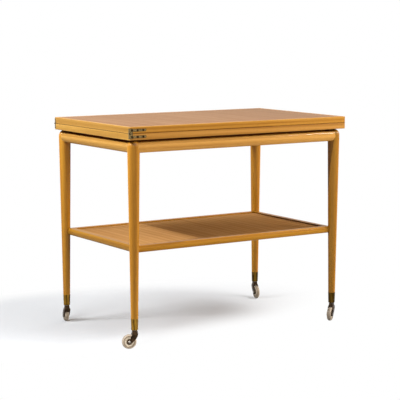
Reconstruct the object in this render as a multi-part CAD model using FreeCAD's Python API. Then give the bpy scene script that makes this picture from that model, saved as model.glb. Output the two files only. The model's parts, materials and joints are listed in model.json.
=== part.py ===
"""Fold-over tea trolley: a wooden frame on four swivel casters, a framed shelf, and a top of two
hinged leaves that slides along the frame so that the opened top lies centred.

Millimetres. X runs along the trolley, Y across it, Z up. The origin is on the floor under the
centre. The front is the -Y side, and the leaves are hinged at the -X end.
"""
import FreeCAD, Part
import math
import os

from FreeCAD import Vector

# ---------------------------------------------------------------- driving dimensions

# Top: two equal leaves, one lying on the other
HEIGHT = 750.0                  # floor to the upper face of the closed top
LEAF_LENGTH = 900.0
LEAF_WIDTH = 536.0
LEAF_THICKNESS = 22.0
LEAF_EDGING = 12.0              # width of the solid strips round each veneered board
LEAF_EDGE_RADIUS = 1.8
TOP_SHIFT = 3.5                 # closed top off the frame's middle, away from the hinges

# Legs
END_OVERHANG = 9.7              # leaf beyond the legs at each end
SIDE_OVERHANG = 1.2             # leaf beyond the legs at front and back
LEG_TOP_RADIUS = 21.3
LEG_FOOT_RADIUS = 12.5          # at the ferrule's upper edge
LEG_TOP_CLEARANCE = 1.0         # dome of the leg below the leaf

# Frame rails under the top
APRON_HEIGHT = 37.0
APRON_THICKNESS = 25.0
APRON_BULGE = 11.5              # depth of the rounded outer face
APRON_SETBACK = 1.3             # outer face inside the leg's outermost line
APRON_REVEAL = 7.0              # open slot between leaf and apron
TENON_THICKNESS = 8.0
TENON_DEPTH = 13.0              # into the leg, along the apron's own centre plane
TENON_SHOULDER = 6.0            # apron above and below the tenon

# Bearers and guide rails that carry the sliding top
BEARER_OFFSET = 180.0           # trolley's middle to a bearer's middle
BEARER_WIDTH = 60.0
BEARER_THICKNESS = 16.0
BEARER_HOUSING = 6.0            # bearer end let into the apron
GUIDE_BRACE_GAP = 6.5           # guide rail clear of the corner braces
GUIDE_WIDTH = 24.0
GUIDE_HEIGHT = 24.0             # bearer to leaf
GUIDE_SCREW_OFFSET = 14.4       # guide rail's inner face to its screws
FELT_WIDTH = 14.0
FELT_THICKNESS = 1.5
FELT_PROUD = 0.6
SLIDE_CLEARANCE = 0.3
RUNNER_WIDTH = 14.0
RUNNER_LIFT = 2.0               # runner clear of the bearers
TONGUE_HEIGHT = 7.0
TONGUE_DEPTH = 6.0
TONGUE_DROP = 10.0              # leaf to the top of the tongue
STOP_LENGTH = 15.6
STOP_HEIGHT = 20.0
STOP_DROP = 2.0                 # stop block below the leaf
STOP_CLEARANCE = 0.4

# Corner braces
BRACE_HEIGHT = 26.0
BRACE_RISE = 4.0                # above the apron's lower edge
BRACE_NEAR = 45.0               # along the aprons from the leg's axis to the two diagonal faces
BRACE_FAR = 70.0

# Shelf
SHELF_TOP = 348.0
SHELF_RAIL_HEIGHT = 23.0
SHELF_RAIL_WIDTH = 25.0
SHELF_RAIL_BULGE = 7.0
SHELF_LIP = 4.5                 # rails above the panel
PANEL_THICKNESS = 9.0
PANEL_TONGUE_THICKNESS = 5.0
PANEL_TONGUE_DEPTH = 6.0        # into the rails
DOWEL_RADIUS = 4.0
DOWEL_LENGTH = 28.0
DOWEL_INSET = 9.0               # dowel axis inside the rail's outer face
DOWEL_STEP = 12.0               # height between the two dowels that share a leg

# Hinges
HINGE_ARM_LENGTH = 64.0         # from the leaf's end
HINGE_ARM_HEIGHT = 9.0
HINGE_ARM_OFFSET = 6.5          # seam to the arm
HINGE_ARM_THICKNESS = 2.2
HINGE_PROUD = 0.3               # brass in front of the wood
HINGE_BLOCK_WIDTH = 12.0
HINGE_BLOCK_HEIGHT = 17.5
HINGE_BLOCK_DEPTH = 8.4
HINGE_EYE_RADIUS = 2.4
HINGE_PIN_RADIUS = 1.1
HINGE_PIN_CLEARANCE = 0.05
HINGE_EYE_CLEARANCE = 0.3
HINGE_END_GAP = 0.3             # between the leaves' ends when the top lies open
HINGE_SCREW_PLACES = (9.0, 30.5, 52.0)

# Screws
SCREW_RADIUS = 1.5
SCREW_HEAD_RADIUS = 3.1
SCREW_HEAD_HEIGHT = 1.7
SCREW_LENGTH = 16.0
SCREW_SLOT_WIDTH = 0.9
SCREW_SLOT_DEPTH = 0.7
WOOD_SCREW_RADIUS = 1.8
WOOD_SCREW_HEAD_RADIUS = 3.6
WOOD_SCREW_HEAD_HEIGHT = 2.2
WOOD_SCREW_GRIP = 12.0          # length in the second piece
WOOD_SCREW_POCKET_RADIUS = 4.2
PAN_HEAD_TAPER = 0.7            # pan head's top as a share of its foot
RUNNER_SCREW_SEAT = 4.0         # pocket depth in the runner
RUNNER_SCREW_PLACES = (0.1, 0.5, 0.9)

# Ferrules, sockets and casters
FERRULE_TOP_RADIUS = 12.9
FERRULE_FOOT_RADIUS = 11.8
FERRULE_HEIGHT = 39.0
FERRULE_WALL = 0.9
FERRULE_CHAMFER = 1.6
FERRULE_FLOOR = 1.5
FERRULE_PIN_RADIUS = 0.9
FERRULE_PIN_LENGTH = 6.0
FERRULE_PIN_DROP = 6.0          # below the ferrule's upper edge
SOCKET_RADIUS = 5.5
SOCKET_HEIGHT = 34.0            # above the ferrule's lower face
SOCKET_CAP = 1.5
SOCKET_FLANGE_RADIUS = 7.5
SOCKET_FLANGE_THICKNESS = 1.2
STEM_RADIUS = 4.0
STEM_CLEARANCE = 0.05
STEM_END_GAP = 0.5
WHEEL_RADIUS = 25.0
WHEEL_DISC_RADIUS = 17.3
TYRE_HALF_WIDTH = 7.2
TYRE_CROWN = 3.8                # height of the rounded tread
TYRE_GROOVE_RADIUS = 0.7
TYRE_GROOVE_PLACE = 19.9
DISC_RIM_WIDTH = 1.6
DISC_RIM_HALF_WIDTH = 6.3
DISC_WEB_HALF_WIDTH = 5.0
DISC_BOSS_RADIUS = 9.0
DISC_BOSS_TAPER = 1.0
AXLE_RADIUS = 2.5
AXLE_CLEARANCE = 0.05
AXLE_HEAD_RADIUS = 4.4
AXLE_HEAD_TOP_RADIUS = 2.6
AXLE_HEAD_HEIGHT = 1.5
CASTER_TRAIL = 18.7
CASTER_HEAD_ROOM = 12.8         # wheel's top to the underside of the socket flange
FORK_NECK_RADIUS = 7.7
FORK_ARM_THICKNESS = 3.0
FORK_HUB_RADIUS = 9.3
FORK_SIDE_CLEARANCE = 0.6
FORK_WHEEL_CLEARANCE = 2.2
BOSS_CLEARANCE = 0.2            # wheel boss to the fork's arms

# Swan neck of the fork, as shares of its width from the back of the neck to the axle and of its
# height from the axle to the neck's upper face
FORK_BACK_CURVE = ((0.0, 1.0), (-0.08, 0.66), (0.053, 0.39), (0.25, 0.21), (0.477, 0.05))
FORK_FRONT_CURVE = ((0.583, 1.0), (0.61, 0.87), (0.67, 0.66), (0.82, 0.44))
FORK_BACK_HUB_ANGLE = 215.0
FORK_FRONT_HUB_ANGLE = 112.0
FORK_FLARE_TOP = 0.86
FORK_FLARE_FOOT = 0.62

# Corners as (side along X, side along Y), and the way each wheel trails at rest, from +X
CORNERS = {
    "front_left": (-1, -1),
    "front_right": (1, -1),
    "back_left": (-1, 1),
    "back_right": (1, 1),
}
TRAIL_ANGLE = {
    "front_left": 159.0,
    "front_right": -142.0,
    "back_left": 74.0,
    "back_right": -107.0,
}

# ---------------------------------------------------------------- places that follow

SEAM_Z = HEIGHT - LEAF_THICKNESS
LEAF_UNDER_Z = SEAM_Z - LEAF_THICKNESS
HALF_LENGTH = LEAF_LENGTH / 2
HALF_WIDTH = LEAF_WIDTH / 2
LEAF_START_X = TOP_SHIFT - HALF_LENGTH          # the hinged end
LEAF_END_X = TOP_SHIFT + HALF_LENGTH

LEG_X = HALF_LENGTH - END_OVERHANG - LEG_TOP_RADIUS
LEG_Y = HALF_WIDTH - SIDE_OVERHANG - LEG_TOP_RADIUS
LEG_TOP_Z = LEAF_UNDER_Z - LEG_TOP_CLEARANCE
DOME_Z = LEG_TOP_Z - LEG_TOP_RADIUS

FLANGE_Z = 2 * WHEEL_RADIUS + CASTER_HEAD_ROOM
FERRULE_Z = FLANGE_Z + SOCKET_FLANGE_THICKNESS
FERRULE_TOP_Z = FERRULE_Z + FERRULE_HEIGHT

APRON_TOP_Z = LEAF_UNDER_Z - APRON_REVEAL
APRON_FOOT_Z = APRON_TOP_Z - APRON_HEIGHT
APRON_OUT = LEG_TOP_RADIUS - APRON_SETBACK       # outer face, out from the leg's axis
APRON_IN = APRON_THICKNESS - APRON_OUT           # inner face, in from the leg's axis

BEARER_TOP_Z = LEAF_UNDER_Z - GUIDE_HEIGHT
GUIDE_IN_Y = LEG_Y - (BRACE_FAR - APRON_IN) - GUIDE_BRACE_GAP - GUIDE_WIDTH
GUIDE_END_X = LEG_X - APRON_IN
RUNNER_OUT_Y = GUIDE_IN_Y - SLIDE_CLEARANCE
STOP_FACE_X = GUIDE_END_X - STOP_LENGTH
SLIDE_TRAVEL = -LEAF_START_X                     # brings the opened top's fold line to the middle
RUNNER_START_X = -STOP_FACE_X + STOP_CLEARANCE
RUNNER_LENGTH = 2 * (STOP_FACE_X - STOP_CLEARANCE) - SLIDE_TRAVEL
TONGUE_TOP_Z = LEAF_UNDER_Z - TONGUE_DROP

SHELF_FOOT_Z = SHELF_TOP - SHELF_RAIL_HEIGHT
PANEL_TOP_Z = SHELF_TOP - SHELF_LIP
PANEL_MIDDLE_Z = PANEL_TOP_Z - PANEL_THICKNESS / 2

FORK_SLOT_HALF = TYRE_HALF_WIDTH + FORK_SIDE_CLEARANCE
FORK_HALF_WIDTH = FORK_SLOT_HALF + FORK_ARM_THICKNESS


# ---------------------------------------------------------------- helpers

def box(x, y, z):
    """Block between two (low, high) limits on each axis."""
    low = Vector(min(x), min(y), min(z))
    size = [max(limits) - min(limits) for limits in (x, y, z)]
    return Part.makeBox(*size, low)


def rod(radius, start, end):
    """Round bar from one point to another."""
    along = end - start
    return Part.makeCylinder(radius, along.Length, start, along)


def prism(points, along):
    """Straight-sided outline swept along a vector."""
    return Part.Face(Part.makePolygon(points + points[:1])).extrude(along)


def turning(edges):
    """Solid of revolution about Z from a closed outline in the XZ plane."""
    return Part.Face(Part.Wire(edges)).revolve(Vector(0, 0, 0), Vector(0, 0, 1), 360)


def segments(points):
    """Straight edges that join the points in order."""
    return [Part.LineSegment(a, b).toShape() for a, b in zip(points, points[1:])]


def fused(shapes):
    """One solid from overlapping solids."""
    first, *others = shapes
    return first.fuse(others).removeSplitter()


def mirrored_y(shape):
    return shape.mirror(Vector(0, 0, 0), Vector(0, 1, 0))


def export(name, *solids):
    """Write one sub-part; a group of like pieces stays a set of separate solids."""
    shape = solids[0] if len(solids) == 1 else Part.makeCompound(list(solids))
    shape.exportStep(os.path.join("parts", name + ".step"))


def leg_axis(corner, z=0.0):
    side_x, side_y = CORNERS[corner]
    return Vector(side_x * LEG_X, side_y * LEG_Y, z)


def slotted_screw(seat, into, length, radius, head_radius, head_height, countersunk):
    """Slotted wood screw. seat is the face its head bears on or lies flush with."""
    into = Vector(into).normalize()
    if countersunk:
        face = seat
        head = Part.makeCone(head_radius, radius, head_height, seat, into)
    else:
        face = seat - into * head_height
        head = Part.makeCone(head_radius * PAN_HEAD_TAPER, head_radius, head_height, face, into)
    across = into.cross(Vector(0, 0, 1)) if abs(into.z) < 0.5 else Vector(0, 1, 0)
    slot = Part.makeBox(SCREW_SLOT_WIDTH, 2 * head_radius, 2 * SCREW_SLOT_DEPTH,
                        Vector(-SCREW_SLOT_WIDTH / 2, -head_radius, -SCREW_SLOT_DEPTH))
    slot.Placement = FreeCAD.Placement(face, FreeCAD.Rotation(into.cross(across), across, into, "ZYX"))
    return fused([head, rod(radius, seat, seat + into * length)]).cut(slot)


# ---------------------------------------------------------------- frame: legs and aprons

def leg_blank():
    """Tapered leg about Z with a domed top and a reduced foot that fills the ferrule."""
    foot_z = FERRULE_Z + FERRULE_FLOOR
    outline = segments([
        Vector(0, 0, LEG_TOP_Z),
        Vector(0, 0, foot_z),
        Vector(FERRULE_FOOT_RADIUS - FERRULE_WALL, 0, foot_z),
        Vector(FERRULE_TOP_RADIUS - FERRULE_WALL, 0, FERRULE_TOP_Z),
        Vector(LEG_FOOT_RADIUS, 0, FERRULE_TOP_Z),
        Vector(LEG_TOP_RADIUS, 0, DOME_Z),
    ])
    slope = LEG_TOP_RADIUS * math.sqrt(0.5)
    dome = Part.Arc(Vector(LEG_TOP_RADIUS, 0, DOME_Z), Vector(slope, 0, DOME_Z + slope),
                    Vector(0, 0, LEG_TOP_Z))
    return turning(outline + [dome.toShape()])


def rounded_bar(length, thickness, height, bulge):
    """Bar along X, centred, with its outer face on y = 0 towards -Y and its foot on z = 0."""
    middle = Vector(-length / 2, bulge, height / 2)
    oval = Part.Ellipse(middle + Vector(0, 0, height / 2), middle - Vector(0, bulge, 0), middle)
    face_curve = Part.ArcOfEllipse(oval, 0, math.pi).toShape()
    top = Vector(-length / 2, bulge, height)
    back = [Vector(-length / 2, thickness, height), Vector(-length / 2, thickness, 0)]
    foot = Vector(-length / 2, bulge, 0)
    outline = Part.Wire([face_curve] + segments([top] + back + [foot]))
    return Part.Face(outline).extrude(Vector(length, 0, 0))


def placed(bar, turn, offset):
    """Bar turned about Z and set down at an offset."""
    shape = bar.copy()
    shape.rotate(Vector(0, 0, 0), Vector(0, 0, 1), turn)
    shape.translate(offset)
    return shape


def long_tenons(side_y):
    middle = LEG_Y + APRON_OUT - APRON_THICKNESS / 2
    shoulder = math.sqrt(LEG_TOP_RADIUS ** 2 - (middle - LEG_Y) ** 2)
    reach = LEG_X - shoulder + TENON_DEPTH
    y = [side_y * (middle + side * TENON_THICKNESS / 2) for side in (-1, 1)]
    z = (APRON_FOOT_Z + TENON_SHOULDER, APRON_TOP_Z - TENON_SHOULDER)
    root = LEG_X - LEG_TOP_RADIUS - TENON_DEPTH
    return [box((side_x * root, side_x * reach), y, z) for side_x in (-1, 1)]


def end_tenons(side_x):
    middle = LEG_X + APRON_OUT - APRON_THICKNESS / 2
    shoulder = math.sqrt(LEG_TOP_RADIUS ** 2 - (middle - LEG_X) ** 2)
    reach = LEG_Y - shoulder + TENON_DEPTH
    x = [side_x * (middle + side * TENON_THICKNESS / 2) for side in (-1, 1)]
    z = (APRON_FOOT_Z + TENON_SHOULDER, APRON_TOP_Z - TENON_SHOULDER)
    root = LEG_Y - LEG_TOP_RADIUS - TENON_DEPTH
    return [box(x, (side_y * root, side_y * reach), z) for side_y in (-1, 1)]


def long_apron(side_y, leg_blanks, cuts):
    bar = rounded_bar(2 * LEG_X, APRON_THICKNESS, APRON_HEIGHT, APRON_BULGE)
    turn = 0 if side_y < 0 else 180
    bar = placed(bar, turn, Vector(0, side_y * (LEG_Y + APRON_OUT), APRON_FOOT_Z))
    return fused([bar.cut(leg_blanks)] + long_tenons(side_y)).cut(cuts)


def end_apron(side_x, leg_blanks, cuts):
    bar = rounded_bar(2 * LEG_Y, APRON_THICKNESS, APRON_HEIGHT, APRON_BULGE)
    turn = -90 if side_x < 0 else 90
    bar = placed(bar, turn, Vector(side_x * (LEG_X + APRON_OUT), 0, APRON_FOOT_Z))
    return fused([bar.cut(leg_blanks)] + end_tenons(side_x)).cut(cuts)


def corner_brace(corner):
    """Diagonal block across the inside of a frame corner."""
    side_x, side_y = CORNERS[corner]
    foot_z = APRON_FOOT_Z + BRACE_RISE
    near = BRACE_NEAR - APRON_IN
    far = BRACE_FAR - APRON_IN
    plan = [(near, APRON_IN), (far, APRON_IN), (APRON_IN, far), (APRON_IN, near)]
    points = [Vector(side_x * (LEG_X - u), side_y * (LEG_Y - v), foot_z) for u, v in plan]
    return prism(points, Vector(0, 0, BRACE_HEIGHT))


def brace_screws(corner):
    """Two screws of a brace, one into each apron, and the pockets for their heads."""
    side_x, side_y = CORNERS[corner]
    z = APRON_FOOT_Z + BRACE_RISE + BRACE_HEIGHT / 2
    along = (BRACE_NEAR + BRACE_FAR) / 2 - APRON_IN
    seat = (BRACE_FAR - along + APRON_IN) / 2
    screws = []
    pockets = []
    for u, v, into in ((along, seat, Vector(0, side_y, 0)), (seat, along, Vector(side_x, 0, 0))):
        point = Vector(side_x * (LEG_X - u), side_y * (LEG_Y - v), z)
        length = seat - APRON_IN + WOOD_SCREW_GRIP
        screws.append(slotted_screw(point, into, length, WOOD_SCREW_RADIUS, WOOD_SCREW_HEAD_RADIUS,
                                    WOOD_SCREW_HEAD_HEIGHT, False))
        pockets.append(rod(WOOD_SCREW_POCKET_RADIUS, point, point - into * BRACE_FAR))
    return screws, pockets


# ---------------------------------------------------------------- bearers, guides, stops

def bearer(side_x):
    x = [side_x * BEARER_OFFSET + side * BEARER_WIDTH / 2 for side in (-1, 1)]
    reach = LEG_Y - APRON_IN + BEARER_HOUSING
    return box(x, (-reach, reach), (BEARER_TOP_Z - BEARER_THICKNESS, BEARER_TOP_Z))


def felt_strip(side_y):
    middle = side_y * (GUIDE_IN_Y + GUIDE_WIDTH / 2)
    return box((-GUIDE_END_X, GUIDE_END_X), (middle - FELT_WIDTH / 2, middle + FELT_WIDTH / 2),
               (LEAF_UNDER_Z - FELT_THICKNESS, LEAF_UNDER_Z))


def guide_rail(side_y):
    """Rail along the frame with a groove for the runner's tongue and a housing for the felt."""
    y = (side_y * GUIDE_IN_Y, side_y * (GUIDE_IN_Y + GUIDE_WIDTH))
    rail = box((-GUIDE_END_X, GUIDE_END_X), y, (BEARER_TOP_Z, LEAF_UNDER_Z - FELT_PROUD))
    groove = box((-GUIDE_END_X, GUIDE_END_X),
                 (side_y * GUIDE_IN_Y, side_y * (GUIDE_IN_Y + TONGUE_DEPTH)),
                 (TONGUE_TOP_Z - TONGUE_HEIGHT - SLIDE_CLEARANCE, TONGUE_TOP_Z + SLIDE_CLEARANCE))
    return rail.cut([groove, felt_strip(side_y)])


def bearer_screws():
    """Screws up through the bearers into the guide rails, and their pockets."""
    screws = []
    pockets = []
    seat_z = BEARER_TOP_Z - BEARER_THICKNESS / 2
    for side_x in (-1, 1):
        for side_y in (-1, 1):
            point = Vector(side_x * BEARER_OFFSET, side_y * (GUIDE_IN_Y + GUIDE_SCREW_OFFSET), seat_z)
            length = BEARER_THICKNESS / 2 + WOOD_SCREW_GRIP
            screws.append(slotted_screw(point, Vector(0, 0, 1), length, WOOD_SCREW_RADIUS,
                                        WOOD_SCREW_HEAD_RADIUS, WOOD_SCREW_HEAD_HEIGHT, False))
            pockets.append(rod(WOOD_SCREW_POCKET_RADIUS, point, point - Vector(0, 0, BEARER_THICKNESS)))
    return screws, pockets


def slide_stops():
    """Four blocks in the frame's ends that meet the runners at each end of the travel."""
    y = (GUIDE_IN_Y - RUNNER_WIDTH, GUIDE_IN_Y)
    z = (LEAF_UNDER_Z - STOP_DROP - STOP_HEIGHT, LEAF_UNDER_Z - STOP_DROP)
    return [box((side_x * STOP_FACE_X, side_x * GUIDE_END_X), [side_y * limit for limit in y], z)
            for side_x in (-1, 1) for side_y in (-1, 1)]


# ---------------------------------------------------------------- shelf

def shelf_panel():
    """Panel that fills the space between the rails, with a thinner tongue in their grooves."""
    layers = []
    for thickness, reach in ((PANEL_THICKNESS, 0), (PANEL_TONGUE_THICKNESS, PANEL_TONGUE_DEPTH)):
        x = LEG_X - SHELF_RAIL_WIDTH + reach
        y = LEG_Y - SHELF_RAIL_WIDTH + reach
        z = (PANEL_MIDDLE_Z - thickness / 2, PANEL_MIDDLE_Z + thickness / 2)
        layers.append(box((-x, x), (-y, y), z))
    return fused(layers)


def shelf_dowels():
    """One dowel at each end of each shelf rail, the long rails' dowels below the end rails'."""
    middle_z = SHELF_FOOT_Z + SHELF_RAIL_HEIGHT / 2
    dowels = []
    for side_x, side_y in CORNERS.values():
        for along_x, z in ((True, middle_z - DOWEL_STEP / 2), (False, middle_z + DOWEL_STEP / 2)):
            near = DOWEL_INSET / 2
            far = near + DOWEL_LENGTH
            ends = [(reach, DOWEL_INSET) if along_x else (DOWEL_INSET, reach) for reach in (near, far)]
            start, end = [Vector(side_x * (LEG_X - u), side_y * (LEG_Y - v), z) for u, v in ends]
            dowels.append(rod(DOWEL_RADIUS, start, end))
    return dowels


def shelf_rail(length_to_axis, depth_to_axis, turn, leg_blanks, cuts):
    """Rail from leg to leg, its outer face on the legs' centre line, mitred inside the legs."""
    bar = rounded_bar(2 * length_to_axis, SHELF_RAIL_WIDTH, SHELF_RAIL_HEIGHT, SHELF_RAIL_BULGE)
    inner_x = length_to_axis - SHELF_RAIL_WIDTH
    plan = [(-length_to_axis, 0), (length_to_axis, 0),
            (inner_x, SHELF_RAIL_WIDTH), (-inner_x, SHELF_RAIL_WIDTH)]
    mitred = prism([Vector(x, y, 0) for x, y in plan], Vector(0, 0, SHELF_RAIL_HEIGHT))
    bar = bar.common(mitred)
    bar.translate(Vector(0, -depth_to_axis, SHELF_FOOT_Z))
    return placed(bar, turn, Vector(0, 0, 0)).cut(leg_blanks + cuts)


# ---------------------------------------------------------------- the two leaves

def leaf_board(foot_z):
    reach_y = HALF_WIDTH - LEAF_EDGING
    return box((LEAF_START_X + LEAF_EDGING, LEAF_END_X - LEAF_EDGING), (-reach_y, reach_y),
               (foot_z, foot_z + LEAF_THICKNESS))


def mitre_wedge(foot_z, half_long, half_across):
    """Space beyond one edge of a leaf between the mitres at its corners, towards -Y."""
    out = LEAF_EDGING
    inner = 2 * LEAF_EDGING
    plan = [(-half_long - out, -half_across - out), (half_long + out, -half_across - out),
            (half_long - inner, -half_across + inner), (-half_long + inner, -half_across + inner)]
    return prism([Vector(x, y, foot_z - out) for x, y in plan], Vector(0, 0, LEAF_THICKNESS + 2 * out))


def leaf_edging(foot_z):
    """Four mitred strips round a board, rounded on their outer edges."""
    whole = box((LEAF_START_X, LEAF_END_X), (-HALF_WIDTH, HALF_WIDTH),
                (foot_z, foot_z + LEAF_THICKNESS))
    ring = whole.makeFillet(LEAF_EDGE_RADIUS, whole.Edges).cut(leaf_board(foot_z))
    wedges = []
    for turn, half_long, half_across in ((0, HALF_LENGTH, HALF_WIDTH), (90, HALF_WIDTH, HALF_LENGTH)):
        for half_turn in (0, 180):
            wedge = mitre_wedge(foot_z, half_long, half_across)
            wedges.append(placed(wedge, turn + half_turn, Vector(TOP_SHIFT, 0, 0)))
    return [ring.common(wedge) for wedge in wedges]


def runner(side_y):
    """Strip under the lower leaf with a tongue that rides in the guide rail's groove."""
    x = (RUNNER_START_X, RUNNER_START_X + RUNNER_LENGTH)
    web = box(x, (side_y * (RUNNER_OUT_Y - RUNNER_WIDTH), side_y * RUNNER_OUT_Y),
              (BEARER_TOP_Z + RUNNER_LIFT, LEAF_UNDER_Z))
    tongue = box(x, (side_y * (RUNNER_OUT_Y - RUNNER_WIDTH), side_y * (RUNNER_OUT_Y + TONGUE_DEPTH)),
                 (TONGUE_TOP_Z - TONGUE_HEIGHT, TONGUE_TOP_Z))
    return fused([web, tongue])


def runner_screws():
    """Screws up through the runners into the lower leaf, and their pockets."""
    screws = []
    pockets = []
    foot_z = BEARER_TOP_Z + RUNNER_LIFT
    seat_z = foot_z + RUNNER_SCREW_SEAT
    for side_y in (-1, 1):
        for share in RUNNER_SCREW_PLACES:
            point = Vector(RUNNER_START_X + share * RUNNER_LENGTH,
                           side_y * (RUNNER_OUT_Y - RUNNER_WIDTH / 2), seat_z)
            length = LEAF_UNDER_Z - seat_z + WOOD_SCREW_GRIP
            screws.append(slotted_screw(point, Vector(0, 0, 1), length, WOOD_SCREW_RADIUS,
                                        WOOD_SCREW_HEAD_RADIUS, WOOD_SCREW_HEAD_HEIGHT, False))
            pockets.append(rod(WOOD_SCREW_POCKET_RADIUS, point, Vector(point.x, point.y, foot_z)))
    return screws, pockets


# ---------------------------------------------------------------- card-table hinges

def hinge_axis(y):
    """Point of the fold line, which lies on the seam just outside the leaves' ends."""
    return Vector(LEAF_START_X - HINGE_END_GAP / 2, y, SEAM_Z)


def hinge_layers():
    """Y limits of the outer and inner eye layers of the front hinge."""
    face = -HALF_WIDTH - HINGE_PROUD
    back = -HALF_WIDTH - HINGE_PROUD + HINGE_BLOCK_DEPTH
    middle = (face + back) / 2
    return (face, middle), (middle, back)


def hinge_plate(up):
    """Front hinge plate of the upper (up = 1) or lower (up = -1) leaf: an arm let into the long
    edge, and a corner block whose eye turns about the pin."""
    outer_layer, inner_layer = hinge_layers()
    own, other = (outer_layer, inner_layer) if up > 0 else (inner_layer, outer_layer)
    own_clearance = HINGE_PIN_CLEARANCE if up > 0 else 0.0
    face, back = outer_layer[0], inner_layer[1]
    block = box((LEAF_START_X, LEAF_START_X + HINGE_BLOCK_WIDTH), (face, back),
                (SEAM_Z, SEAM_Z + up * HINGE_BLOCK_HEIGHT))
    arm_z = (SEAM_Z + up * HINGE_ARM_OFFSET, SEAM_Z + up * (HINGE_ARM_OFFSET + HINGE_ARM_HEIGHT))
    arm_y = (face, face + HINGE_ARM_THICKNESS)
    end_radius = HINGE_ARM_HEIGHT / 2
    arm_end = LEAF_START_X + HINGE_ARM_LENGTH - end_radius
    end_z = SEAM_Z + up * (HINGE_ARM_OFFSET + end_radius)
    arm = box((LEAF_START_X, arm_end), arm_y, arm_z)
    round_end = rod(end_radius, Vector(arm_end, arm_y[0], end_z), Vector(arm_end, arm_y[1], end_z))
    eye = rod(HINGE_EYE_RADIUS, hinge_axis(own[0]), hinge_axis(own[1]))
    relief = rod(HINGE_EYE_RADIUS + HINGE_EYE_CLEARANCE, hinge_axis(other[0]), hinge_axis(other[1]))
    bore = rod(HINGE_PIN_RADIUS + own_clearance, hinge_axis(face), hinge_axis(back))
    return fused([block, arm, round_end, eye]).cut([relief, bore])


def hinge_recess(up):
    """Wood taken out of a leaf's corner for its front hinge plate."""
    outer_layer, inner_layer = hinge_layers()
    face, back = outer_layer[0], inner_layer[1]
    block = box((LEAF_START_X - HINGE_EYE_RADIUS, LEAF_START_X + HINGE_BLOCK_WIDTH), (face, back),
                (SEAM_Z, SEAM_Z + up * HINGE_BLOCK_HEIGHT))
    return [block, hinge_plate(up)]


def hinge_pin():
    outer_layer, inner_layer = hinge_layers()
    return rod(HINGE_PIN_RADIUS, hinge_axis(outer_layer[0]), hinge_axis(inner_layer[1]))


def hinge_screws(up):
    face = -HALF_WIDTH - HINGE_PROUD
    z = SEAM_Z + up * (HINGE_ARM_OFFSET + HINGE_ARM_HEIGHT / 2)
    return [slotted_screw(Vector(LEAF_START_X + place, face, z), Vector(0, 1, 0), SCREW_LENGTH,
                          SCREW_RADIUS, SCREW_HEAD_RADIUS, SCREW_HEAD_HEIGHT, True)
            for place in HINGE_SCREW_PLACES]


# ---------------------------------------------------------------- ferrules and casters, about Z

def ferrule():
    """Tapered brass cup with a hole in its floor for the socket."""
    inner_foot = FERRULE_FOOT_RADIUS - FERRULE_WALL
    inner_top = FERRULE_TOP_RADIUS - FERRULE_WALL
    points = [
        Vector(SOCKET_RADIUS, 0, FERRULE_Z),
        Vector(FERRULE_FOOT_RADIUS - FERRULE_CHAMFER, 0, FERRULE_Z),
        Vector(FERRULE_FOOT_RADIUS, 0, FERRULE_Z + FERRULE_CHAMFER),
        Vector(FERRULE_TOP_RADIUS, 0, FERRULE_TOP_Z),
        Vector(inner_top, 0, FERRULE_TOP_Z),
        Vector(inner_foot, 0, FERRULE_Z + FERRULE_FLOOR),
        Vector(SOCKET_RADIUS, 0, FERRULE_Z + FERRULE_FLOOR),
    ]
    return turning(segments(points + points[:1]))


def ferrule_pins():
    """Two small pins through a ferrule's wall into the leg."""
    z = FERRULE_TOP_Z - FERRULE_PIN_DROP
    taper = (FERRULE_TOP_RADIUS - FERRULE_FOOT_RADIUS) / FERRULE_HEIGHT
    surface = FERRULE_TOP_RADIUS - taper * FERRULE_PIN_DROP
    return [rod(FERRULE_PIN_RADIUS, Vector(side * surface, 0, z),
                Vector(side * (surface - FERRULE_PIN_LENGTH), 0, z)) for side in (-1, 1)]


def caster_socket():
    """Steel sleeve driven into the leg, with a flange that the fork turns against."""
    bore_radius = STEM_RADIUS + STEM_CLEARANCE
    top_z = FERRULE_Z + SOCKET_HEIGHT
    points = [
        Vector(bore_radius, 0, FLANGE_Z),
        Vector(SOCKET_FLANGE_RADIUS, 0, FLANGE_Z),
        Vector(SOCKET_FLANGE_RADIUS, 0, FERRULE_Z),
        Vector(SOCKET_RADIUS, 0, FERRULE_Z),
        Vector(SOCKET_RADIUS, 0, top_z),
        Vector(0, 0, top_z),
        Vector(0, 0, top_z - SOCKET_CAP),
        Vector(bore_radius, 0, top_z - SOCKET_CAP),
    ]
    return turning(segments(points + points[:1]))


def fork_side():
    """Side view of the fork, swept across its full width."""
    span = FORK_NECK_RADIUS + CASTER_TRAIL
    rise = FLANGE_Z - WHEEL_RADIUS

    def place(share):
        return Vector(-FORK_NECK_RADIUS + share[0] * span, -FORK_HALF_WIDTH, WHEEL_RADIUS + share[1] * rise)

    def hub_point(degrees):
        angle = math.radians(degrees)
        return Vector(CASTER_TRAIL + FORK_HUB_RADIUS * math.cos(angle), -FORK_HALF_WIDTH,
                      WHEEL_RADIUS + FORK_HUB_RADIUS * math.sin(angle))

    back = [place(share) for share in FORK_BACK_CURVE] + [hub_point(FORK_BACK_HUB_ANGLE)]
    front = [place(share) for share in FORK_FRONT_CURVE] + [hub_point(FORK_FRONT_HUB_ANGLE)]
    curves = []
    for points in (back, front):
        curve = Part.BSplineCurve()
        curve.interpolate(points)
        curves.append(curve.toShape())
    closing = segments([back[0], front[0]]) + segments([back[-1], front[-1]])
    width = Vector(0, 2 * FORK_HALF_WIDTH, 0)
    arms = Part.Face(Part.Wire(Part.__sortEdges__(curves + closing))).extrude(width)
    hub_start = Vector(CASTER_TRAIL, -FORK_HALF_WIDTH, WHEEL_RADIUS)
    return fused([arms, rod(FORK_HUB_RADIUS, hub_start, hub_start + width)])


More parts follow.
